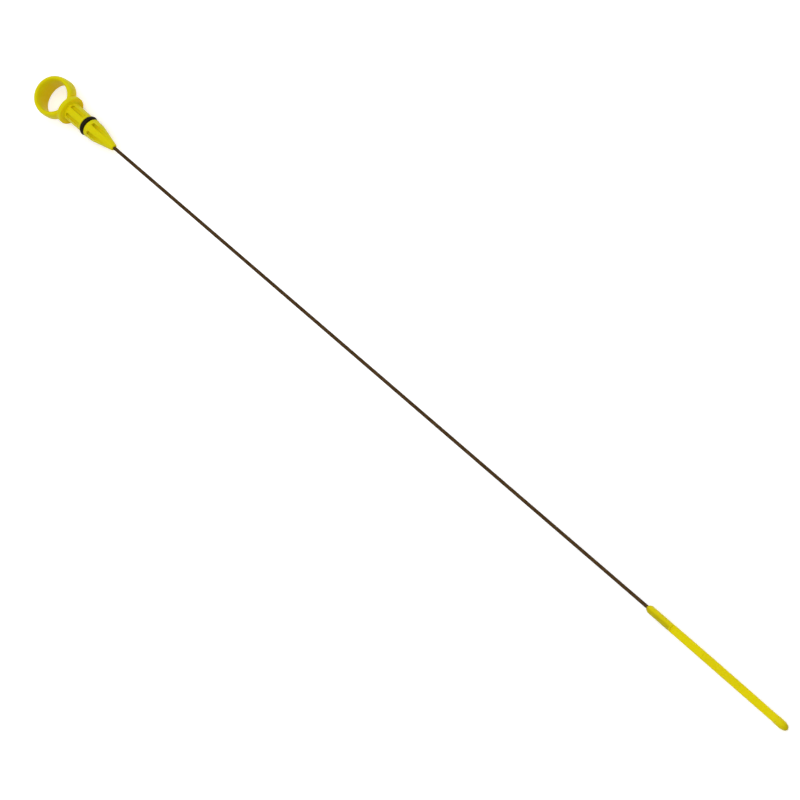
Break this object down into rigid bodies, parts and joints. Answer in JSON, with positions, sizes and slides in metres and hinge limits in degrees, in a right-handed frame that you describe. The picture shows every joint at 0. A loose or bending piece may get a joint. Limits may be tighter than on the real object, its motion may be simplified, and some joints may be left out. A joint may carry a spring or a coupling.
{
  "type": "engine oil dipstick",
  "caption": "Long straight oil level stick: finger-ring handle on a seating flange, sealed shank with a tapered plug, thin steel rod and a flat-bladed level tip with a rounded nose.",
  "frame": {"origin": "on the rod's axis, in the flange face that seats on the mouth of the guide tube, from which the oil levels are measured", "axes": "+X along the stick towards the level tip, the way it is pushed in; +Y across the stick in the plane of the finger ring; +Z along the axis of the finger ring, up as the stick lies on a bench"},
  "size_m": [0.6984, 0.026, 0.0182],
  "materials": {
    "handle": "yellow moulded nylon, satin with a faint sheen",
    "o_ring": "black oil-resistant rubber, matte",
    "rod": "drawn spring steel with a brown-bronze finish, semi-gloss",
    "level_tip": "yellow moulded nylon, satin with a faint sheen"
  },
  "bodies": {
    "root": {"handle": "handle", "o_ring": "o_ring", "rod": "rod", "level_tip": "level_tip"}
  },
  "joints": []
}
